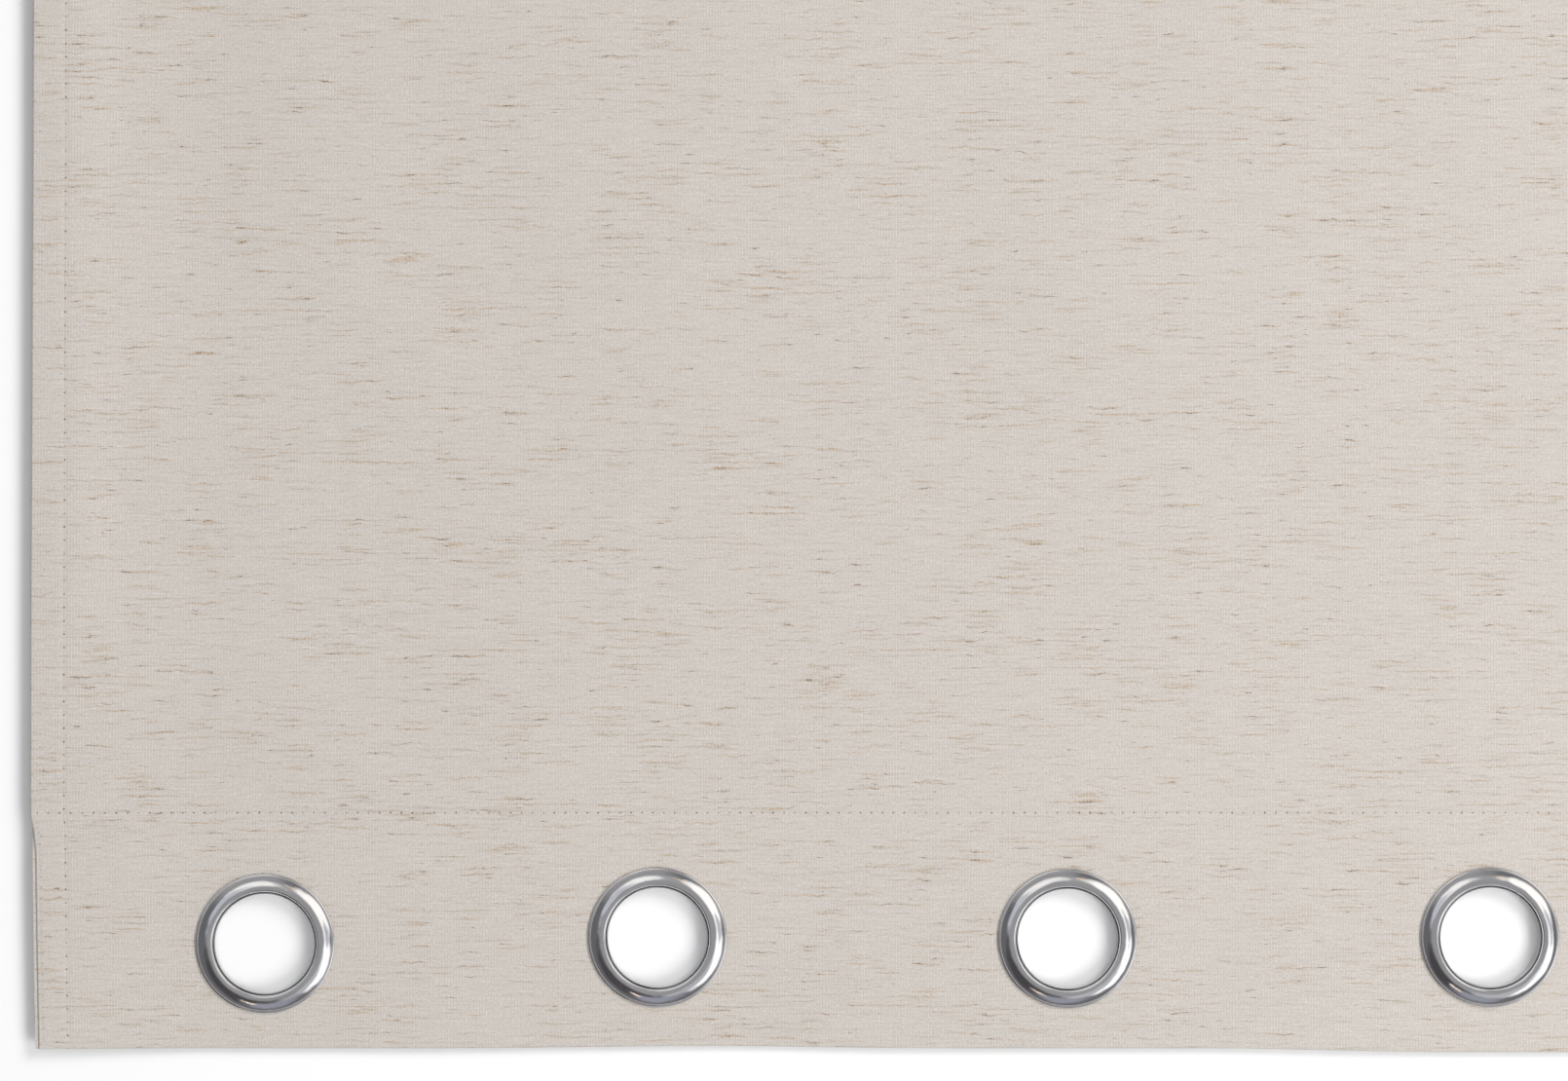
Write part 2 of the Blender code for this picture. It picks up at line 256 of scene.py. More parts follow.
UPPER_LENGTH = 0.460
SEAM_ZONE = 0.003
SEAM_SPACING = 0.0006
TUCK_SPACING = 0.003
HEM_SPACING = 0.006


def cloth_path():
    """The cloth from the side, as (Y, drop): header tuck, facing, front, hem back and hem tuck.
    Its stations are close together at the seams, and wider apart below the upper part."""
    tuck = LAYER_STEP / 2
    header = HEADER_STACK / 2
    hem = HEM_STACK / 2
    upper_end = HEADER_EDGE + UPPER_LENGTH
    under_header = HEADER_STACK - LAYER_STEP
    under_hem = HEM_STACK - LAYER_STEP
    parts = [
        run(HEADER_TURN_Y - TUCK_DEPTH, HEADER_TURN_Y - tuck, TUCK_SPACING, under_header)[:-1],
        turn(HEADER_TURN_Y - tuck, tuck, 90, -90, 6) + (0, under_header),
        run(HEADER_TURN_Y - tuck, HEADER_EDGE + header, 0.004, HEADER_STACK)[1:-1],
        turn(HEADER_EDGE + header, header, 270, 90, 8),
        run(HEADER_EDGE + header, HEADER_SEAM_Y - SEAM_ZONE, 0.0027, 0.0)[1:],
        run(HEADER_SEAM_Y - SEAM_ZONE, HEADER_SEAM_Y + SEAM_ZONE, SEAM_SPACING, 0.0)[1:],
        run(HEADER_SEAM_Y + SEAM_ZONE, upper_end, 0.0045, 0.0)[1:],
        run(upper_end, HEM_SEAM_Y - SEAM_ZONE, 0.012, 0.0)[1:],
        run(HEM_SEAM_Y - SEAM_ZONE, HEM_SEAM_Y + SEAM_ZONE, SEAM_SPACING, 0.0)[1:],
        run(HEM_SEAM_Y + SEAM_ZONE, HEM_EDGE - hem, HEM_SPACING, 0.0)[1:-1],
        turn(HEM_EDGE - hem, hem, 90, -90, 8),
        run(HEM_EDGE - hem, HEM_TURN_Y + tuck, HEM_SPACING, HEM_STACK)[1:-1],
        turn(HEM_TURN_Y + tuck, tuck, 270, 90, 6) + (0, under_hem),
        run(HEM_TURN_Y + tuck, HEM_TURN_Y + TUCK_DEPTH, TUCK_SPACING, under_hem)[1:],
    ]
    return np.concatenate(parts)


def measured(path):
    """The distance along a path to each of its points, from its first point."""
    steps = np.linalg.norm(np.diff(path, axis=0), axis=1)
    return np.concatenate([[0.0], np.cumsum(steps)])


STATION_SPACING = 0.003
CLOSEST_STATIONS = 0.00008
FINE_AT_FOLDS = [(fold - FOLD_REACH, fold + FOLD_REACH, 0.0012) for fold in FOLD_X]
FINE_AT_SIDES = []
for near, far, spacing in ((0.0, 0.0008, 0.0001), (0.0, 0.004, 0.0008), (0.011, 0.016, 0.0008)):
    FINE_AT_SIDES += [(LEFT_EDGE + near, LEFT_EDGE + far, spacing),
                      (RIGHT_EDGE - far, RIGHT_EDGE - near, spacing)]


def across_stations(left, right, fine):
    """X stations from left to right, evenly spaced, and closer at the places listed in fine."""
    stations = [np.linspace(low, high, int(round((high - low) / spacing)) + 1)
                for low, high, spacing in [(left, right, STATION_SPACING), *fine]]
    merged = np.unique(np.round(np.concatenate(stations), 6))
    inside = merged[(merged > left + CLOSEST_STATIONS) & (merged < right - CLOSEST_STATIONS)]
    apart = np.concatenate([[True], np.diff(inside) > CLOSEST_STATIONS])
    return np.concatenate([[left], inside[apart], [right]])


def own_coordinates(mesh, label, per_point):
    """Stores the coordinates of each point of a mesh in the piece's own map of that name."""
    corners = np.zeros(len(mesh.loops), np.int32)
    mesh.loops.foreach_get("vertex_index", corners)
    layer = mesh.uv_layers.new(name=label)
    layer.data.foreach_set("uv", per_point[corners].astype(np.float32).ravel())


def thick_sheet(name, middle, flat, thickness):
    """A closed sheet: the middle surface moved half a thickness each way along its normals, with
    a rim all round. middle is rows by columns of points, and flat the cloth's own coordinates."""
    rows, columns = middle.shape[:2]
    normal = np.cross(np.gradient(middle, axis=1), np.gradient(middle, axis=0))
    normal /= np.linalg.norm(normal, axis=-1, keepdims=True)
    points = np.concatenate([middle + normal * thickness / 2, middle - normal * thickness / 2])
    index = np.arange(2 * rows * columns).reshape(2, rows, columns)

    def quads(a, b, c, d):
        """Four-sided faces from four arrays of corners."""
        return np.stack([a, b, c, d], axis=-1).reshape(-1, 4)

    def rim(line):
        """The faces that join the two sides of the sheet along one of its edges."""
        return quads(line[0, :-1], line[0, 1:], line[1, 1:], line[1, :-1])

    up, down = index
    faces = np.concatenate([
        quads(up[:-1, :-1], up[:-1, 1:], up[1:, 1:], up[1:, :-1]),
        quads(down[:-1, :-1], down[1:, :-1], down[1:, 1:], down[:-1, 1:]),
        rim(index[:, 0, ::-1]), rim(index[:, -1, :]), rim(index[:, :, 0]), rim(index[:, ::-1, -1]),
    ])
    mesh = bpy.data.meshes.new(name)
    mesh.from_pydata(points.reshape(-1, 3), [], faces)
    own_coordinates(mesh, "cloth", np.tile(flat.reshape(-1, 2), (2, 1)))
    return mesh


def points_outward(mesh):
    """Turns every face over if the closed mesh holds a negative volume."""
    mesh.calc_loop_triangles()
    corners = np.zeros(len(mesh.loop_triangles) * 3, np.int32)
    mesh.loop_triangles.foreach_get("vertices", corners)
    places = np.zeros(len(mesh.vertices) * 3)
    mesh.vertices.foreach_get("co", places)
    a, b, c = places.reshape(-1, 3)[corners.reshape(-1, 3)].transpose(1, 0, 2)
    if np.einsum("ij,ij->i", a, np.cross(b, c)).sum() < 0:
        mesh.flip_normals()


def new_object(name, data):
    """Links a mesh, a light or a camera to the scene as an object at the origin."""
    made = bpy.data.objects.new(name, data)
    bpy.context.scene.collection.objects.link(made)
    return made


def new_piece(name, mesh, material, sharp_degrees=40):
    """Links a mesh as a smooth-shaded object with its material, its place held in the mesh."""
    points_outward(mesh)
    mesh.shade_smooth()
    mesh.set_sharp_from_angle(angle=math.radians(sharp_degrees))
    mesh.materials.append(material)
    return new_object(name, mesh)


HOLE_SIDES = 96
PUNCH_BOTTOM = -0.01
PUNCH_TOP = 0.02


def punch_hole(piece, place, radius):
    """Cuts a round hole straight down through a piece, and keeps the result as its mesh."""
    corner = np.arange(HOLE_SIDES)
    onward = (corner + 1) % HOLE_SIDES
    angles = corner * 2 * np.pi / HOLE_SIDES
    circle = np.stack([np.cos(angles), np.sin(angles)], axis=1) * radius + place[:2]
    low = np.column_stack([circle, np.full(HOLE_SIDES, PUNCH_BOTTOM)])
    high = np.column_stack([circle, np.full(HOLE_SIDES, PUNCH_TOP)])
    sides = np.stack([corner, onward, HOLE_SIDES + onward, HOLE_SIDES + corner], axis=1)
    ends = [corner[::-1].tolist(), (HOLE_SIDES + corner).tolist()]
    mesh = bpy.data.meshes.new("punch")
    mesh.from_pydata(np.concatenate([low, high]), [], sides.tolist() + ends)
    punch = new_object("punch", mesh)
    cut = piece.modifiers.new("hole", "BOOLEAN")
    cut.operation = "DIFFERENCE"
    cut.solver = "EXACT"
    cut.object = punch
    graph = bpy.context.evaluated_depsgraph_get()
    holed = bpy.data.meshes.new_from_object(piece.evaluated_get(graph))
    piece.modifiers.clear()
    piece.data = holed
    bpy.data.objects.remove(punch)


def piece_span(strip):
    """The edges in X of one visual strip: each ends just past the next fold line."""
    left = LEFT_EDGE if strip == 1 else FOLD_X[strip - 2] + FOLD_REACH
    right = RIGHT_EDGE if strip == len(STRIPS) else FOLD_X[strip - 1] + FOLD_REACH
    return left, right


def carry(piece, strip):
    """The last strip's piece follows its own body; every other piece is only baked where it lies."""
    if strip == len(STRIPS):
        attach(piece, "strip_%d" % strip)
        return
    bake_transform(piece)


def give(tree, socket, value):
    """Links a socket to an output, or sets it to a constant."""
    if isinstance(value, bpy.types.NodeSocket):
        tree.links.new(value, socket)
    else:
        socket.default_value = value


def add_node(tree, kind, inputs=None, **settings):
    """Adds a shader node of one kind, with its settings, and gives each named input its value."""
    node = tree.nodes.new(kind)
    for key, value in settings.items():
        setattr(node, key, value)
    for key, value in (inputs or {}).items():
        give(tree, node.inputs[key], value)
    return node


def compute(tree, operation, *values):
    """One step of arithmetic on values or links."""
    return add_node(tree, "ShaderNodeMath", dict(enumerate(values)), operation=operation).outputs[0]


def remap(tree, value, low, high, to_low=0.0, to_high=1.0):
    """Maps a value from one range to another, smoothly and without running past its ends."""
    node = add_node(tree, "ShaderNodeMapRange", {
        "Value": value, "From Min": low, "From Max": high, "To Min": to_low, "To Max": to_high,
    }, interpolation_type="SMOOTHSTEP")
    return node.outputs["Result"]


def blend_color(tree, share, first, second, blend_type="MIX"):
    """Mixes a share of the second colour into the first one, or multiplies them."""
    node = add_node(tree, "ShaderNodeMix", data_type="RGBA", blend_type=blend_type)
    for socket, value in ((0, share), (6, first), (7, second)):
        give(tree, node.inputs[socket], value)
    return node.outputs[2]


def gray(tree, tone):
    """A gray whose three channels are all one tone."""
    return add_node(tree, "ShaderNodeCombineColor", {0: tone, 1: tone, 2: tone}).outputs[0]


def noise(tree, place, scale, detail=2.0, roughness=0.5):
    """Noise with its own number of grains to the metre in each direction. The cloth's coordinates
    are flat, so there the third number is 0."""
    stretched = add_node(tree, "ShaderNodeMapping", {"Vector": place, "Scale": scale})
    grain = add_node(tree, "ShaderNodeTexNoise", {
        "Vector": stretched.outputs[0], "Scale": 1.0, "Detail": detail, "Roughness": roughness,
    })
    return grain.outputs["Fac"]


def new_group(name, inputs, outputs):
    """An empty shader group with named sockets: (name, type, default) in, (name, type) out."""
    tree = bpy.data.node_groups.new(name, "ShaderNodeTree")
    for label, kind, value in inputs:
        socket = tree.interface.new_socket(label, in_out="INPUT", socket_type=kind)
        if value is not None:
            socket.default_value = value
    for label, kind in outputs:
        tree.interface.new_socket(label, in_out="OUTPUT", socket_type=kind)
    return tree, tree.nodes.new("NodeGroupInput").outputs, tree.nodes.new("NodeGroupOutput").inputs


def new_material(name, **constants):
    """A Principled material, with the values that are the same all over set on its own sockets."""
    material = bpy.data.materials.new(name)
    material.use_nodes = True
    tree = material.node_tree
    shader = tree.nodes["Principled BSDF"]
    for key, value in constants.items():
        shader.inputs[key.replace("_", " ")].default_value = value
    return material, tree, shader


def place_group(tree, group, inputs):
    """Sets a shader group in a tree with its own values, and returns what it puts out."""
    return add_node(tree, "ShaderNodeGroup", inputs, node_tree=group).outputs


def finish_surface(tree, shader, color, roughness, height, strength, distance):
    """Gives a shader its colour and roughness, and bumps its surface by a height."""
    bump = add_node(tree, "ShaderNodeBump", {
        "Height": height, "Strength": strength, "Distance": distance,
    })
    give(tree, shader.inputs["Base Color"], color)
    give(tree, shader.inputs["Roughness"], roughness)
    give(tree, shader.inputs["Normal"], bump.outputs["Normal"])


RIB_PITCH = 0.00117
ROW_PITCH = 0.00083
WARP_PITCH = 0.00150
HEADER_PITCH = 0.0044
SIDE_PITCH = 0.0054
SIDE_SEAM_IN = 0.0132
END_SEAM_IN = 0.0021
NEEDLE_RADIUS = 0.00020
PRICK_RADIUS = 0.00058


def needle_hole_group():
    """Where shade is painted into the needle holes along one seam: round spots a pitch apart on the
    line where Across is 0.
    """
    number = "NodeSocketFloat"
    tree, given, out = new_group(
        "needle_holes",
        [("Along", number, 0.0), ("Across", number, 0.0), ("Pitch", number, HEADER_PITCH)],
        [("Mask", number)])
    turns = compute(tree, "DIVIDE", given["Along"], given["Pitch"])
    part = compute(tree, "SUBTRACT", compute(tree, "FRACT", turns), 0.5)
    off = compute(tree, "MULTIPLY", part, given["Pitch"])
    squares = compute(tree, "ADD", compute(tree, "MULTIPLY", off, off),
                      compute(tree, "MULTIPLY", given["Across"], given["Across"]))
    away = compute(tree, "SQRT", squares)
    tree.links.new(remap(tree, away, NEEDLE_RADIUS, PRICK_RADIUS, 1.0, 0.0), out["Mask"])
    return tree


needle_holes = needle_hole_group()

YARN = (0.533, 0.494, 0.455, 1)
SLUB = (0.430, 0.295, 0.168, 1)
PALE_SLUB = (0.400, 0.335, 0.255, 1)
KNOT = (0.175, 0.112, 0.060, 1)
NEEDLE_HOLE_SHADE = (0.10, 0.085, 0.07, 1)
YARN_TONE = 1.030


def linen_group():
    """Plain-woven slubbed linen in the cloth's own coordinates, width along X and length along Y.
    Weft yarns run across the width, each lighter or darker along its length, over fine even warp
    ends. Thick tan slubs run and waver along some yarns, with short brown knots in them, and
    there are small dark specks, and needle holes along the seams, darkened with painted shade."""
    number, color, vector = "NodeSocketFloat", "NodeSocketColor", "NodeSocketVector"
    tree, given, out = new_group(
        "slubbed_linen", [("Cloth", vector, None), ("Yarn", color, None), ("Slub", color, None),
                          ("Knot", color, None)],
        [("Color", color), ("Height", number), ("Roughness", number)])
    place = given["Cloth"]
    split = add_node(tree, "ShaderNodeSeparateXYZ", {"Vector": place}).outputs
    along, length = split["X"], split["Y"]

    def times(value, strength):
        """A value scaled by a number or by another value."""
        return compute(tree, "MULTIPLY", value, strength)

    def centred(value, strength):
        """A value from 0 to 1 made to vary about 0 by a strength."""
        return times(compute(tree, "SUBTRACT", value, 0.5), strength)

    def wave(value, pitch):
        """A sine wave of one pitch along the cloth."""
        return compute(tree, "SINE", times(value, 2 * math.pi / pitch))

    weft = noise(tree, place, (130.0, 1250.0, 0.0), 2.0, 0.6)
    weft_long = noise(tree, place, (32.0, 1000.0, 0.0))
    grain = noise(tree, place, (1000.0, 1300.0, 0.0), 1.0, 0.5)
    patches = noise(tree, place, (9.0, 11.0, 0.0), 3.0, 0.55)
    ribs = wave(along, RIB_PITCH)
    rows = wave(length, ROW_PITCH)
    rib_patch = noise(tree, place, (170.0, 150.0, 0.0))
    row_patch = noise(tree, place, (150.0, 200.0, 0.0))
    ribs = times(ribs, remap(tree, rib_patch, 0.40, 0.62, 0.25, 1.0))
    rows = times(rows, remap(tree, row_patch, 0.42, 0.64, 0.10, 1.0))
    tone = compute(tree, "ADD", YARN_TONE, centred(weft, 0.26))
    for part in (centred(weft_long, 0.16), centred(grain, 0.42), centred(patches, 0.05),
                 times(ribs, 0.074), times(rows, 0.022)):
        tone = compute(tree, "ADD", tone, part)
    woven = blend_color(tree, 1.0, given["Yarn"], gray(tree, tone), "MULTIPLY")

    crowd = centred(noise(tree, place, (20.0, 55.0, 0.0)), 0.24)
    sway = centred(noise(tree, place, (190.0, 60.0, 0.0)), 0.0018)
    place = add_node(tree, "ShaderNodeCombineXYZ", {
        "X": along, "Y": compute(tree, "ADD", length, sway),
    }).outputs[0]
    slub_yarn = noise(tree, place, (48.0, 820.0, 0.0), 3.0, 0.60)
    slub = remap(tree, compute(tree, "ADD", slub_yarn, crowd), 0.556, 0.655)
    ragged = noise(tree, place, (420.0, 1500.0, 0.0), 2.0, 0.6)
    slub = times(slub, remap(tree, ragged, 0.34, 0.60, 0.25, 1.0))
    over_warp = compute(tree, "ADD", times(wave(along, WARP_PITCH), 0.22), 0.78)
    slub = times(slub, over_warp)
    knot_place = noise(tree, place, (150.0, 950.0, 0.0), 3.0, 0.6)
    near_slub = compute(tree, "ADD", centred(slub_yarn, 0.50), times(crowd, 0.5))
    knot = times(remap(tree, compute(tree, "ADD", knot_place, near_slub), 0.647, 0.750), over_warp)
    speck_place = noise(tree, place, (900.0, 1250.0, 0.0), 1.0, 0.5)
    speck = remap(tree, compute(tree, "ADD", speck_place, crowd), 0.800, 0.860)
    hue = noise(tree, place, (26.0, 420.0, 0.0), 1.0, 0.5)
    slub_color = blend_color(tree, remap(tree, hue, 0.38, 0.62), given["Slub"], PALE_SLUB)
    woven = blend_color(tree, times(slub, 0.85), woven, slub_color)
    dark = compute(tree, "MAXIMUM", times(knot, 0.85), times(speck, 0.55))
    woven = blend_color(tree, dark, woven, given["Knot"])

    seams = seam_masks(tree, along, length)
    holes = seams[0]
    for extra in seams[1:]:
        holes = compute(tree, "MAXIMUM", holes, extra)
    patchy = remap(tree, noise(tree, place, (180.0, 180.0, 0.0), 1.0, 0.5), 0.35, 0.62, 0.35, 0.85)
    # Painted shade: the needle holes are darkened, some more than others.
    woven = blend_color(tree, times(holes, patchy), woven, NEEDLE_HOLE_SHADE)
    tree.links.new(woven, out["Color"])

    relief = compute(tree, "ADD", centred(weft, 1.0), centred(grain, 0.6))
    for part in (times(ribs, 0.12), times(rows, 0.10), times(slub, 0.45), times(holes, -1.2)):
        relief = compute(tree, "ADD", relief, part)
    tree.links.new(relief, out["Height"])
    tree.links.new(remap(tree, weft, 0.2, 0.8, 0.82, 0.96), out["Roughness"])
    return tree


def seam_masks(tree, along, length):
    """The needle holes of every seam that shows on the face, where shade is painted, in the cloth's
    own coordinates. Those at the header's ends are fainter, and stop at the header's edge."""
    from_header = compute(tree, "SUBTRACT", length, HEADER_SEAM_Y)
    from_hem = compute(tree, "SUBTRACT", length, HEM_SEAM_Y)
    from_left = compute(tree, "SUBTRACT", along, LEFT_EDGE)
    from_right = compute(tree, "SUBTRACT", RIGHT_EDGE, along)
    from_side = compute(tree, "MINIMUM", from_left, from_right)
    side_line = compute(tree, "SUBTRACT", from_side, SIDE_SEAM_IN)
    end_line = compute(tree, "SUBTRACT", from_side, END_SEAM_IN)
    in_header = compute(tree, "LESS_THAN", from_header, 0.0)
    on_front = compute(tree, "GREATER_THAN", length, HEADER_EDGE)
    masks = []
    for line, across, pitch in ((along, from_header, HEADER_PITCH), (along, from_hem, HEADER_PITCH),
                                (length, side_line, SIDE_PITCH), (length, end_line, HEADER_PITCH)):
        given = {"Along": line, "Across": across, "Pitch": pitch}
        masks.append(place_group(tree, needle_holes, given)["Mask"])
    faint = compute(tree, "MULTIPLY", compute(tree, "MULTIPLY", in_header, on_front), 0.45)
    masks[3] = compute(tree, "MULTIPLY", masks[3], faint)
    return masks


def linen_material():
    """The slubbed linen on the cloth's own coordinates, matt, with a trace of sheen."""
    material, tree, shader = new_material("linen_cloth", Sheen_Weight=0.08, Sheen_Roughness=0.6,
                                          Specular_IOR_Level=0.25)
    cloth = add_node(tree, "ShaderNodeUVMap", uv_map="cloth").outputs["UV"]
    weave = place_group(tree, linen, {"Cloth": cloth, "Yarn": YARN, "Slub": SLUB, "Knot": KNOT})
    finish_surface(tree, shader, weave["Color"], weave["Roughness"], weave["Height"], 0.35, 0.00010)
    return material


linen = linen_group()
linen_cloth = linen_material()
path = cloth_path()
path_length = measured(path)
edge_row = int(np.argmin(path[:, 0]))
along_cloth = path_length - path_length[edge_row] + HEADER_EDGE

for strip in STRIPS:
    left, right = piece_span(strip)
    stations = across_stations(left, right, FINE_AT_SIDES + FINE_AT_FOLDS)
    x, y = np.meshgrid(stations, path[:, 0])
    drop = np.repeat(path[:, 1:], len(stations), axis=1)
    flat = np.stack([x, np.repeat(along_cloth[:, None], len(stations), axis=1)], axis=-1)
    mesh = thick_sheet("cloth_%d" % strip, lie(x, y, drop), flat, CLOTH_THICKNESS)
    piece = new_piece("cloth_%d" % strip, mesh, linen_cloth)
    punch_hole(piece, GROMMET_PLACES[strip - 1], CLOTH_HOLE_RADIUS)
    carry(piece, strip)
    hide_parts("panel_cloth_%d" % strip)


# ---------------------------------------------------------------------------------------------
# Header stiffener. A band of white non-woven buckram, pressed into the header between its front
# and its facing, and held by the seam and by the grommets that pass through it.

STIFFENER_THICKNESS = 0.0005
STIFFENER_DROP = 0.00075
STIFFENER_ROWS = 28
STIFFENER_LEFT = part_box("header_stiffener_1")[0].x
STIFFENER_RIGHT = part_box("header_stiffener_%d" % len(STRIPS))[1].x
BUCKRAM_GRAY = (0.66, 0.66, 0.64, 1)
BUCKRAM_WHITE = (0.80, 0.80, 0.78, 1)


def buckram_material():
    """White non-woven: fine even fibres, some of them grayer and lower than others; the gray is
    partly the fibres' own tone and partly painted shade on the lower ones.
    """
    material, tree, shader = new_material("header_buckram", Specular_IOR_Level=0.2)
    cloth = add_node(tree, "ShaderNodeUVMap", uv_map="cloth").outputs["UV"]
    fibres = noise(tree, cloth, (700.0, 700.0, 0.0), 4.0, 0.7)
    # Partly painted shade: the lower fibres are the grayer ones.
    color = blend_color(tree, remap(tree, fibres, 0.35, 0.65), BUCKRAM_GRAY, BUCKRAM_WHITE)
    roughness = remap(tree, fibres, 0.3, 0.7, 0.75, 0.95)
    finish_surface(tree, shader, color, roughness, fibres, 0.3, 0.0001)
    return material


header_buckram = buckram_material()
for strip in STRIPS:
    node = "header_stiffener_%d" % strip
    low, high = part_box(node)
    left, right = piece_span(strip)
    left, right = max(left, STIFFENER_LEFT), min(right, STIFFENER_RIGHT)
    stations = across_stations(left, right, FINE_AT_FOLDS)
    x, y = np.meshgrid(stations, np.linspace(low.y, high.y, STIFFENER_ROWS))
    mesh = thick_sheet("stiffener_%d" % strip, lie(x, y, np.full(x.shape, STIFFENER_DROP)),
                       np.stack([x, y], axis=-1), STIFFENER_THICKNESS)
    piece = new_piece("stiffener_%d" % strip, mesh, header_buckram)
    punch_hole(piece, GROMMET_PLACES[strip - 1], CLOTH_HOLE_RADIUS)
    carry(piece, strip)
    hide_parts(node)


# ---------------------------------------------------------------------------------------------
# Side hems. The cloth's own side edges, turned under twice and pressed, so that a fold closes the
# edge and the raw edge is shut in. They lie under the front from the header to the bottom hem.

HEM_CLEARANCE = 0.0006
SIDE_HEM_SPACING = 0.002
UPPER_HEM_STATIONS = 90
LOWER_HEM_STATIONS = 120


def side_hem_path():
    """The hem from its end, as (distance in, drop): edge fold, back, inner turn and tuck."""
    tuck = LAYER_STEP / 2
    edge = (HEM_STACK - HEM_CLEARANCE) / 2
    middle = EDGE_ROUND + edge
    angles = np.radians(np.linspace(90, 270, 9))
    fold = np.stack([middle + edge * np.cos(angles), HEM_STACK - edge - edge * np.sin(angles)],
                    axis=1)
    flat_back = run(middle, SIDE_HEM_WIDTH - tuck, SIDE_HEM_SPACING, HEM_STACK)[1:-1]
    angles = np.radians(np.linspace(-90, 90, 7))
    inner = np.stack([SIDE_HEM_WIDTH - tuck + tuck * np.cos(angles),
                      HEM_STACK - tuck - tuck * np.sin(angles)], axis=1)
    tucked = run(SIDE_HEM_WIDTH - tuck, SIDE_HEM_WIDTH - TUCK_DEPTH, SIDE_HEM_SPACING,
                 LAYER_STEP)[1:]
    return np.concatenate([fold, flat_back, inner, tucked])


hem_path = side_hem_path()
hem_width = measured(hem_path)
hem_start = HEADER_TURN_Y + HEM_CLEARANCE
hem_middle = HEADER_EDGE + UPPER_LENGTH
hem_stations = np.concatenate([
    np.linspace(hem_start, hem_middle, UPPER_HEM_STATIONS),
    np.linspace(hem_middle, HEM_TURN_Y - HEM_CLEARANCE, LOWER_HEM_STATIONS)[1:],
])
for side, edge, inward in (("left", LEFT_EDGE, 1), ("right", RIGHT_EDGE, -1)):
    inset, y = np.meshgrid(hem_path[:, 0], hem_stations)
    drop = np.repeat(hem_path[None, :, 1], len(hem_stations), axis=0)
    flat = np.stack([np.broadcast_to(edge - inward * hem_width, y.shape), y], axis=-1)
    mesh = thick_sheet("%s_hem" % side, lie(edge + inward * inset, y, drop), flat, CLOTH_THICKNESS)
    piece = new_piece("%s_hem" % side, mesh, linen_cloth)
    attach(piece, "strip_1" if side == "left" else "strip_%d" % len(STRIPS))
    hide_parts("%s_side_hem" % side)


# ---------------------------------------------------------------------------------------------
# Seam threads. Spun polyester sewing thread, dyed to match the cloth, in lockstitch. Each stitch
# is a short plump arch that rises from one needle hole and goes down into the next.

THREAD_RADIUS = 0.00013
PLY_PITCH = 0.0006
PLY_SLANT = 1.4
THREAD_SHADED = (0.49, 0.452, 0.41, 1)
THREAD_LIT = (0.56, 0.52, 0.475, 1)
STITCH_SHARE = 0.80
STITCH_SIDES = 6
STITCH_RINGS = np.array([-1.0, -0.72, -0.30, 0.30, 0.72, 1.0])
EDGE_GAP = 0.001
MEETING_GAP = 0.002
CORNER_GAP = 0.003
HEM_GAP = 0.006


def stitch_mesh(name, middles, along, facing, pitch):
    """One mesh of many stitches: a thin six-sided tube for each, fattest in its middle, whose
    ends dip into the cloth: its girth and its rise both fall with the fourth power of the
    distance from its middle. Its own coordinates are its length and its turn."""
    count = len(middles)
    across = np.cross(facing, along)
    rings = STITCH_RINGS
    half = pitch * STITCH_SHARE / 2
    girth = THREAD_RADIUS * (0.35 + 0.65 * (1 - rings ** 4))
    rise = THREAD_RADIUS * (0.05 - 1.5 * rings ** 4)
    angles = np.arange(STITCH_SIDES) * 2 * np.pi / STITCH_SIDES
    spine = (middles[:, None, :] + along[:, None, :] * (rings * half)[None, :, None]
             + facing[:, None, :] * rise[None, :, None])
    points = (spine[:, :, None, :]
              + across[:, None, None, :] * (girth[:, None] * np.cos(angles))[None, :, :, None]
              + facing[:, None, None, :] * (girth[:, None] * np.sin(angles))[None, :, :, None])
    index = np.arange(count * len(rings) * STITCH_SIDES).reshape(count, len(rings), STITCH_SIDES)
    after = np.roll(index, -1, axis=2)
    walls = np.stack([index[:, :-1], after[:, :-1], after[:, 1:], index[:, 1:]], axis=-1)
    ends = np.concatenate([index[:, 0, ::-1], index[:, -1, :]])
    mesh = bpy.data.meshes.new(name)
    mesh.from_pydata(points.reshape(-1, 3), [], walls.reshape(-1, 4).tolist() + ends.tolist())
    length, turns = np.meshgrid(rings * half, angles * THREAD_RADIUS, indexing="ij")
    own = np.stack([length, turns], axis=-1).reshape(-1, 2)
    own_coordinates(mesh, "thread", np.tile(own, (count, 1)))
    return mesh


def surface_frame(x, y, drop, facing_up):
    """The place on the cloth's face or back at (x, y), and the direction that it faces there."""
    step = 0.0005
    place = lie(x, y, drop)
    right = lie(x + step, y, drop) - lie(x - step, y, drop)
    onward = lie(x, y + step, drop) - lie(x, y - step, drop)
    facing = np.cross(right, onward) * (1 if facing_up else -1)
    facing /= np.linalg.norm(facing, axis=1, keepdims=True)
    return place + facing * CLOTH_THICKNESS / 2, right, onward, facing


def stitch_rows(name, rows, pitch):
    """Joins rows of stitches, each (x, y, drop, facing_up, runs_across), into one mesh."""
    middles, alongs, facings = [], [], []
    for x, y, drop, facing_up, runs_across in rows:
        place, right, onward, facing = surface_frame(x, y, drop, facing_up)
        along = right if runs_across else onward
        alongs.append(along / np.linalg.norm(along, axis=1, keepdims=True))
        middles.append(place)
        facings.append(facing)
    return stitch_mesh(name, np.concatenate(middles), np.concatenate(alongs),
                       np.concatenate(facings), pitch)


def stitch_places(start, end, pitch):
    """The middles of the stitches between two places, on the same pitch as the needle holes."""
    first = math.ceil(start / pitch)
    last = math.floor(end / pitch)
    return np.arange(first, last) * pitch + pitch


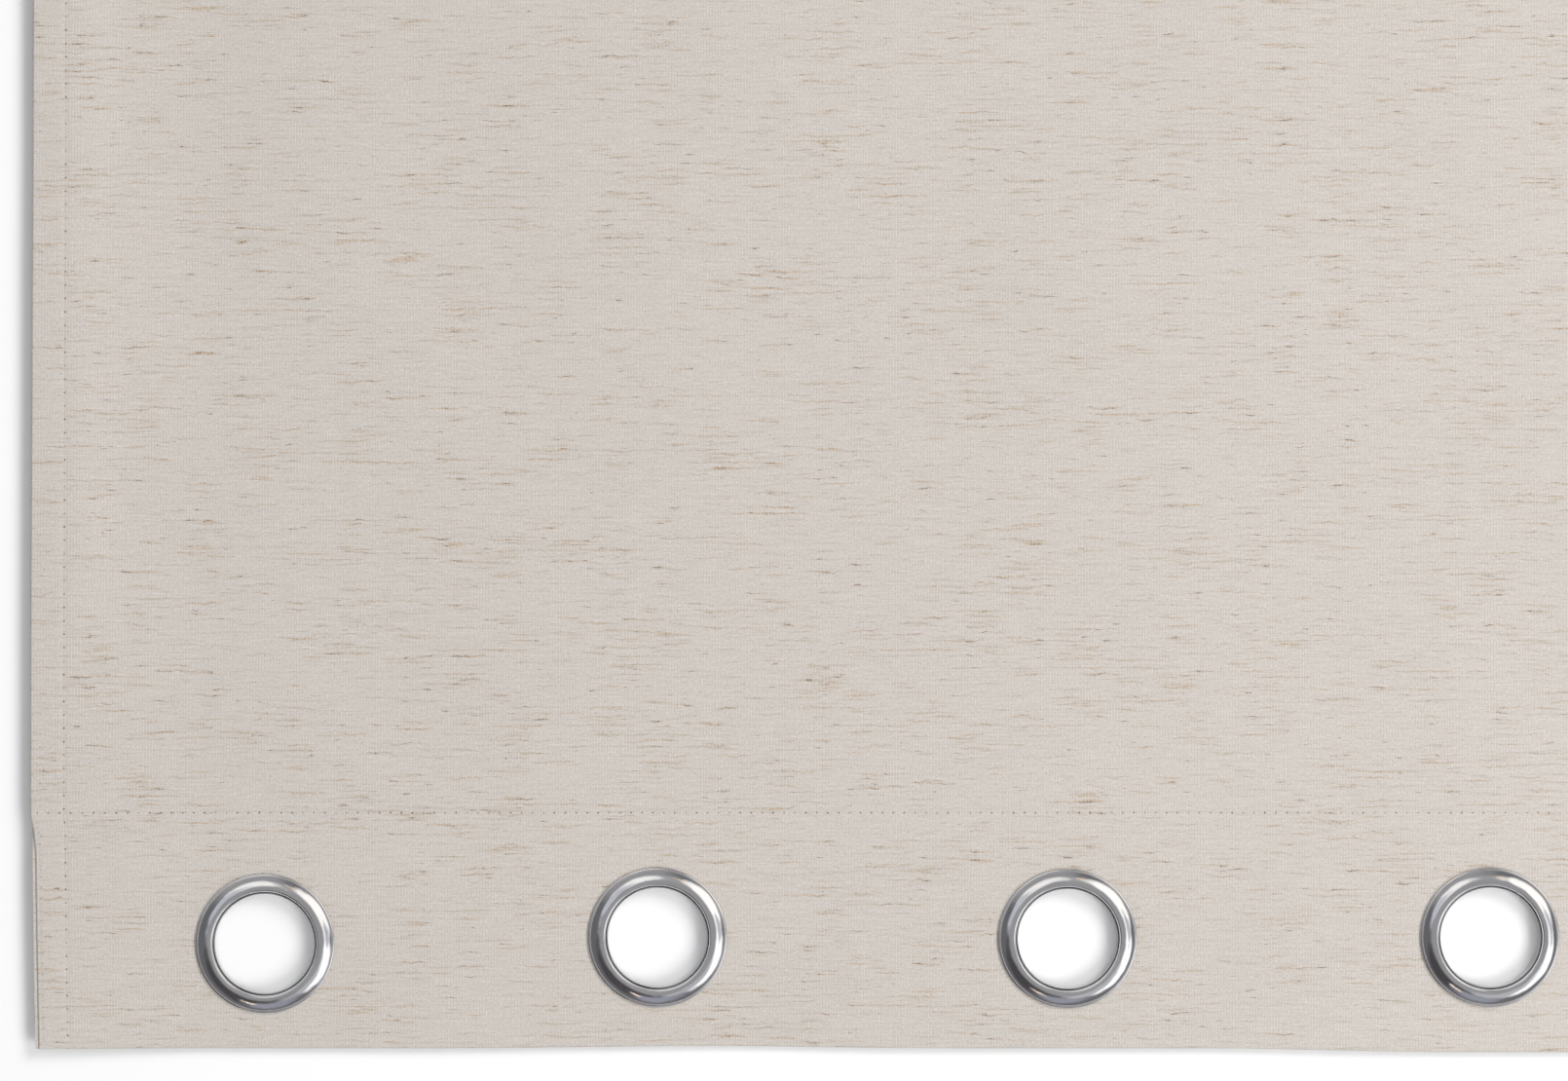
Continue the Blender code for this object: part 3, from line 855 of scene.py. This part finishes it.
def thread_material():
    """Twisted thread: plies that slant round it, with painted highlight and a smoother finish where
    they stand proud, and painted shade between them.
    """
    material, tree, shader = new_material("sewing_thread", Specular_IOR_Level=0.35)
    own = add_node(tree, "ShaderNodeUVMap", uv_map="thread").outputs["UV"]
    split = add_node(tree, "ShaderNodeSeparateXYZ", {"Vector": own}).outputs
    slant = compute(tree, "ADD", split["X"], compute(tree, "MULTIPLY", split["Y"], PLY_SLANT))
    plies = compute(tree, "SINE", compute(tree, "MULTIPLY", slant, 2 * math.pi / PLY_PITCH))
    # Painted highlight on the ply crests, painted shade in the grooves between them.
    color = blend_color(tree, remap(tree, plies, -1.0, 1.0), THREAD_SHADED, THREAD_LIT)
    roughness = remap(tree, plies, -1.0, 1.0, 0.75, 0.6)
    finish_surface(tree, shader, color, roughness, plies, 0.5, 0.00004)
    return material


sewing_thread = thread_material()

for strip in STRIPS:
    left, right = piece_span(strip)
    x = stitch_places(max(left, LEFT_EDGE + EDGE_GAP), min(right, RIGHT_EDGE - EDGE_GAP),
                      HEADER_PITCH)
    for seam, seam_y, stack in (("header_seam", HEADER_SEAM_Y, HEADER_STACK),
                                ("hem_seam", HEM_SEAM_Y, HEM_STACK)):
        y = np.full(len(x), seam_y)
        rows = [(x, y, np.zeros(len(x)), True, True), (x, y, np.full(len(x), stack), False, True)]
        name = "%s_stitches_%d" % (seam, strip)
        piece = new_piece(name, stitch_rows(name, rows, HEADER_PITCH), sewing_thread, 60)
        carry(piece, strip)
        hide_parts("%s_thread_%d" % (seam, strip))

for side, edge, inward in (("left", LEFT_EDGE, 1), ("right", RIGHT_EDGE, -1)):
    body = "strip_1" if side == "left" else "strip_%d" % len(STRIPS)
    seam_start = HEADER_EDGE + CORNER_GAP
    y = stitch_places(seam_start, HEM_SEAM_Y - HEM_GAP, SIDE_PITCH)
    x = np.full(len(y), edge + inward * SIDE_SEAM_IN)
    back_y = y[y > HEADER_TURN_Y + SIDE_PITCH]
    back_x = x[:len(back_y)]
    rows = [(x, y, np.zeros(len(y)), True, False),
            (back_x, back_y, np.full(len(back_y), HEM_STACK), False, False)]
    name = "%s_hem_stitches" % side
    hem_stitches = new_piece(name, stitch_rows(name, rows, SIDE_PITCH), sewing_thread, 60)
    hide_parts("%s_hem_thread" % side)
    y = stitch_places(seam_start, HEADER_SEAM_Y - MEETING_GAP, HEADER_PITCH)
    x = np.full(len(y), edge + inward * END_SEAM_IN)
    rows = [(x, y, np.zeros(len(y)), True, False),
            (x, y, np.full(len(y), HEADER_STACK), False, False)]
    name = "%s_header_end_stitches" % side
    end_stitches = new_piece(name, stitch_rows(name, rows, HEADER_PITCH), sewing_thread, 60)
    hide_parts("%s_header_end_thread" % side)
    for piece in (hem_stitches, end_stitches):
        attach(piece, body)


# ---------------------------------------------------------------------------------------------
# Grommets. Snap-together rings of moulded plastic with a thick bright chrome plate. The front half
# has a broad plump crown inside a thin flat rim, and a rolled lip at its bore. Its barrel passes
# through the header into the flat back half, and the two clamp the cloth between them.

RING_STEPS = 128
BORE_RADIUS = 0.0200
BARREL_RADIUS = 0.0215
RING_RADIUS = 0.0280
LIP_RADIUS = 0.02066
CROWN_RADIUS = 0.02230
CROWN_HEIGHT = 0.0026
BARREL_FOOT = 0.0003
RING_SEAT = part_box("grommet_front_1")[1].z - CROWN_HEIGHT
BACK_RING_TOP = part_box("grommet_back_1")[1].z
# Painted shade: the plate's colour is darkened on the lip round the bore, above this height and
# inside the lip's crest.
LIP_SHADE_ABOVE = RING_SEAT + 0.0007
LIP_SHADE_FADE = 0.0004
LIP_SHADE_TONE = 0.64
FRONT_TINT = (0.785, 0.78, 0.785, 1)
BACK_TINT = (0.70, 0.70, 0.71, 1)


def arc(center_r, center_z, radius_r, radius_z, start_degrees, end_degrees, steps):
    """Points of an oval arc in the ring's section, as radius and height."""
    angles = np.radians(np.linspace(start_degrees, end_degrees, steps + 1))
    return np.stack([center_r + radius_r * np.cos(angles), center_z + radius_z * np.sin(angles)],
                    axis=1)


def turned_ring(name, section, place):
    """A closed section of radius and height, carried round the ring's upright axis. Its
    attribute for painted shade is 1 on the lip round the bore, and 0 on the crown and the barrel."""
    count = len(section)
    angles = np.arange(RING_STEPS) * 2 * np.pi / RING_STEPS
    radius, height = section[:, 0], section[:, 1]
    points = np.stack([
        place[0] + radius[None, :] * np.cos(angles)[:, None],
        place[1] + radius[None, :] * np.sin(angles)[:, None],
        np.broadcast_to(height, (RING_STEPS, count)),
    ], axis=-1)
    index = np.arange(RING_STEPS * count).reshape(RING_STEPS, count)
    onward = np.roll(index, -1, axis=0)
    faces = np.stack([index, onward, np.roll(onward, -1, axis=1), np.roll(index, -1, axis=1)],
                     axis=-1)
    mesh = bpy.data.meshes.new(name)
    mesh.from_pydata(points.reshape(-1, 3), [], faces.reshape(-1, 4))
    # Painted shade: 1 on the lip round the bore, above the seat and inside the lip's crest.
    shade = mesh.attributes.new("dull_plate", "FLOAT", "POINT")
    lip_shade = (height > LIP_SHADE_ABOVE) * (1 - smooth_step((radius - LIP_RADIUS) / LIP_SHADE_FADE))
    shade.data.foreach_set("value", np.tile(lip_shade, RING_STEPS).astype(np.float32))
    return mesh


def front_section():
    """From the barrel's foot up the bore, over the lip and the crown, to the rim and back. The
    crown is steep and flat-topped on its inner side, and falls away gently on its outer one: it
    drops by a power of the distance from its highest line, a greater power on the inner side."""
    seat = RING_SEAT
    way = np.linspace(-1, 1, 41)
    reach = np.where(way < 0, 0.00158, 0.00475)
    base = np.where(way < 0, 0.00110, 0.00080)
    power = np.where(way < 0, 5.0, 2.05)
    rise = (CROWN_HEIGHT - base) * (1 - np.abs(way) ** power)
    crown = np.stack([CROWN_RADIUS + reach * way, seat + base + rise], axis=1)
    return np.concatenate([
        [(BORE_RADIUS, BARREL_FOOT), (BORE_RADIUS, seat + 0.0006)],
        arc(BORE_RADIUS + 0.00032, seat + 0.00085, 0.00032, 0.00040, 180, 40, 8),
        [(LIP_RADIUS, seat + 0.00086)],
        crown,
        [(0.02710, seat + 0.00064), (0.02722, seat + 0.00062)],
        arc(RING_RADIUS - 0.00072, seat + 0.00020, 0.00072, 0.00044, 86, 0, 9),
        [(RING_RADIUS - 0.0002, seat), (0.0262, seat)],
        arc(0.02385, seat + 0.00010, 0.00205, 0.00150, 0, 180, 12),
        [(BARREL_RADIUS, seat), (BARREL_RADIUS, BARREL_FOOT)],
    ])


def back_section():
    """A flat washer with a rounded outer rim and a rolled inner edge round the barrel."""
    inner = BARREL_RADIUS + 0.0003
    top = BACK_RING_TOP
    return np.concatenate([
        [(inner, top), (inner, 0.0003)],
        arc(inner + 0.0003, 0.0003, 0.0003, 0.0003, 180, 270, 4)[1:],
        [(inner + 0.0012, 0.0), (inner + 0.0016, 0.00018), (RING_RADIUS - 0.0012, 0.00018),
         (RING_RADIUS - 0.0009, 0.0)],
        arc(RING_RADIUS - 0.0004, 0.0004, 0.0004, 0.0004, 270, 360, 4),
        [(RING_RADIUS, top)],
    ])


def plate_group():
    """Bright plate over moulding: slow ripples that bend what it reflects, and fine hairlines."""
    number = "NodeSocketFloat"
    tree, given, out = new_group(
        "bright_plate", [("Place", "NodeSocketVector", None), ("Ripple", number, 1.0)],
        [("Height", number), ("Roughness", number), ("Tone", number)])
    ripple = noise(tree, given["Place"], (70.0, 70.0, 70.0), 2.0, 0.45)
    hairs = noise(tree, given["Place"], (260.0, 2600.0, 900.0), 3.0, 0.6)
    height = compute(tree, "ADD", compute(tree, "MULTIPLY", ripple, given["Ripple"]),
                     compute(tree, "MULTIPLY", hairs, 0.02))
    tree.links.new(height, out["Height"])
    tree.links.new(remap(tree, hairs, 0.45, 0.75, 0.09, 0.18), out["Roughness"])
    tree.links.new(remap(tree, ripple, 0.3, 0.7, 0.94, 1.0), out["Tone"])
    return tree


bright_plate = plate_group()


def chrome_material(name, tint, ripple):
    """Bright plate in one tint, darkened with painted shade on the lip where the ring's own
    attribute says so.
    """
    material, tree, shader = new_material(name, Metallic=1.0)
    place = add_node(tree, "ShaderNodeTexCoord").outputs["Object"]
    plate = place_group(tree, bright_plate, {"Place": place, "Ripple": ripple})
    lip_shade = add_node(tree, "ShaderNodeAttribute", attribute_name="dull_plate").outputs["Fac"]
    # Painted shade: the plate's tone is darkened where the lip's attribute is 1.
    tone = compute(tree, "MULTIPLY", plate["Tone"], remap(tree, lip_shade, 0.0, 1.0, 1.0, LIP_SHADE_TONE))
    color = blend_color(tree, 1.0, gray(tree, tone), tint, "MULTIPLY")
    finish_surface(tree, shader, color, plate["Roughness"], plate["Height"], 0.6, 0.0008)
    return material


front_chrome = chrome_material("front_chrome", FRONT_TINT, 1.0)
back_chrome = chrome_material("back_chrome", BACK_TINT, 0.4)
front_ring = front_section()
back_ring = back_section()
for strip in STRIPS:
    place = GROMMET_PLACES[strip - 1]
    for half, section, material in (("front", front_ring, front_chrome),
                                    ("back", back_ring, back_chrome)):
        name = "%s_ring_%d" % (half, strip)
        piece = new_piece(name, turned_ring(name, section, place), material, 50)
        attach(piece, "strip_%d" % strip)
        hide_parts("grommet_%s_%d" % (half, strip))


# ---------------------------------------------------------------------------------------------
# Ground, light and camera. The panel lies on a plain white table, lit by two soft boxes off to its
# right and a larger faint one overhead, and it is looked at from straight above its header. Far
# from the panel the ground gives out a little light, so that it stays pale all the way out.

GROUND_HALF = 30.0
GROUND_Z = -0.0002
GROUND_WHITE = (0.90, 0.90, 0.90, 1)
GLOW_START = 1.4
GLOW_FULL = 4.6
GLOW = (0.50, 0.50, 0.50, 1)

mesh = bpy.data.meshes.new("ground")
corners = [(x * GROUND_HALF, y * GROUND_HALF, GROUND_Z)
           for x, y in ((-1, -1), (1, -1), (1, 1), (-1, 1))]
mesh.from_pydata(corners, [], [(0, 1, 2, 3)])
material, tree, shader = new_material("white_ground", Base_Color=GROUND_WHITE, Roughness=0.9,
                                      Specular_IOR_Level=0.1, Emission_Strength=1.0)
place = add_node(tree, "ShaderNodeTexCoord").outputs["Object"]
away = add_node(tree, "ShaderNodeVectorMath", {0: place}, operation="LENGTH").outputs["Value"]
glow = blend_color(tree, remap(tree, away, GLOW_START, GLOW_FULL), (0, 0, 0, 1), GLOW)
tree.links.new(glow, shader.inputs["Emission Color"])
mesh.materials.append(material)
ground = new_object("ground", mesh)
ground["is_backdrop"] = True


def soft_box(name, place, aim, width, height, watts, tint):
    """A rectangular soft light at a place, turned to face the point that it is aimed at, and seen
    neither by the camera nor in the chrome, which reflects the room instead."""
    light = bpy.data.lights.new(name, "AREA")
    light.shape = "RECTANGLE"
    light.size = width
    light.size_y = height
    light.energy = watts
    light.color = tint
    lamp = new_object(name, light)
    lamp.location = place
    lamp.rotation_mode = "QUATERNION"
    lamp.rotation_quaternion = Vector(np.array(place) - np.array(aim)).to_track_quat("Z", "Y")
    lamp.visible_camera = False
    lamp.visible_glossy = False


VIEW_WIDTH = 0.6312
VIEW_CENTER = (LEFT_EDGE + 0.3019, HEADER_EDGE + 0.2050)
BOX_ELEVATION = math.radians(37)
BOX_DISTANCE = 4.0
BOX_WIDTH = 2.2
BOX_HEIGHT = 1.6
BOX_WATTS = 90.0
BOX_TINT = (1.0, 0.996, 0.990)
CEILING_Z = 6.0
CEILING_SIZE = 4.5
CEILING_WATTS = 50.0
CEILING_TINT = (0.985, 0.99, 1.0)

aim = (*VIEW_CENTER, 0)
for side, azimuth in (("upper", math.radians(40)), ("lower", math.radians(-36))):
    level = BOX_DISTANCE * math.cos(BOX_ELEVATION)
    place = (VIEW_CENTER[0] + level * math.cos(azimuth), VIEW_CENTER[1] + level * math.sin(azimuth),
             BOX_DISTANCE * math.sin(BOX_ELEVATION))
    soft_box("%s_box" % side, place, aim, BOX_WIDTH, BOX_HEIGHT, BOX_WATTS, BOX_TINT)
soft_box("ceiling_box", (*VIEW_CENTER, CEILING_Z), aim, CEILING_SIZE, CEILING_SIZE, CEILING_WATTS,
         CEILING_TINT)


def toward(tree, direction, azimuth, elevation, outer, inner):
    """1 within the inner angle of a bearing and 0 outside the outer one, in degrees."""
    turned, raised = math.radians(azimuth), math.radians(elevation)
    bearing = (math.cos(raised) * math.cos(turned), math.cos(raised) * math.sin(turned),
               math.sin(raised))
    near = add_node(tree, "ShaderNodeVectorMath", {0: direction, 1: bearing},
                    operation="DOT_PRODUCT").outputs["Value"]
    return remap(tree, near, math.cos(math.radians(outer)), math.cos(math.radians(inner)))


ROOM_GRAY = (0.18, 0.18, 0.19, 1)
EVEN_LIGHT = (0.410, 0.412, 0.420, 1)
BACKDROP = (0.93, 0.93, 0.93, 1)
ROOM_PATCHES = [  # azimuth, elevation, outer angle and inner angle in degrees, and colour
    (178, 45, 50, 20, (0.155, 0.156, 0.166)),
    (0, 90, 32, 12, (0.36, 0.36, 0.37)),
    (-126, 48, 32, 14, (0.078, 0.072, 0.078)),
    (-92, 38, 24, 8, (0.35, 0.36, 0.42)),
    (88, 60, 24, 10, (0.40, 0.40, 0.41)),
    (112, 26, 40, 16, (0.36, 0.36, 0.37)),
    (122, 58, 23, 9, (1.15, 1.13, 1.10)),
    (152, 60, 18, 6, (0.60, 0.62, 0.68)),
    (30, 44, 30, 17, (1.35, 1.32, 1.27)),
    (-30, 44, 29, 16, (1.50, 1.50, 1.53)),
    (2, 45, 14, 6, (0.60, 0.61, 0.66)),
    (-60, 60, 18, 6, (0.55, 0.55, 0.58)),
    (68, 50, 5, 2, (1.00, 0.74, 0.46)),
    (-112, 46, 5, 2, (1.50, 1.20, 0.90)),
]


def room_world():
    """A gray room that only the chrome takes in, with soft pale patches to the right, overhead and
    at the upper left, and dark ones at the left. All else gets an even light from every side."""
    world = bpy.data.worlds.new("room")
    bpy.context.scene.world = world
    world.use_nodes = True
    tree = world.node_tree
    tree.nodes.clear()
    direction = add_node(tree, "ShaderNodeTexCoord").outputs["Generated"]
    room = ROOM_GRAY
    for azimuth, elevation, outer, inner, tint in ROOM_PATCHES:
        patch = toward(tree, direction, azimuth, elevation, outer, inner)
        room = blend_color(tree, patch, room, (*tint, 1))
    rays = add_node(tree, "ShaderNodeLightPath").outputs
    color = blend_color(tree, rays["Is Glossy Ray"], EVEN_LIGHT, room)
    color = blend_color(tree, rays["Is Camera Ray"], color, BACKDROP)
    background = add_node(tree, "ShaderNodeBackground", {"Color": color, "Strength": 1.0})
    output = add_node(tree, "ShaderNodeOutputWorld")
    tree.links.new(background.outputs[0], output.inputs["Surface"])


room_world()

SENSOR_WIDTH = 36.0
LENS = 100.0
camera_data = bpy.data.cameras.new("camera")
camera_data.sensor_width = SENSOR_WIDTH
camera_data.lens = LENS
camera = new_object("camera", camera_data)
camera.location = (*VIEW_CENTER, HEADER_Z + VIEW_WIDTH * LENS / SENSOR_WIDTH)
bpy.context.scene.camera = camera
bpy.context.scene.view_settings.view_transform = "Standard"

low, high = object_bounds()
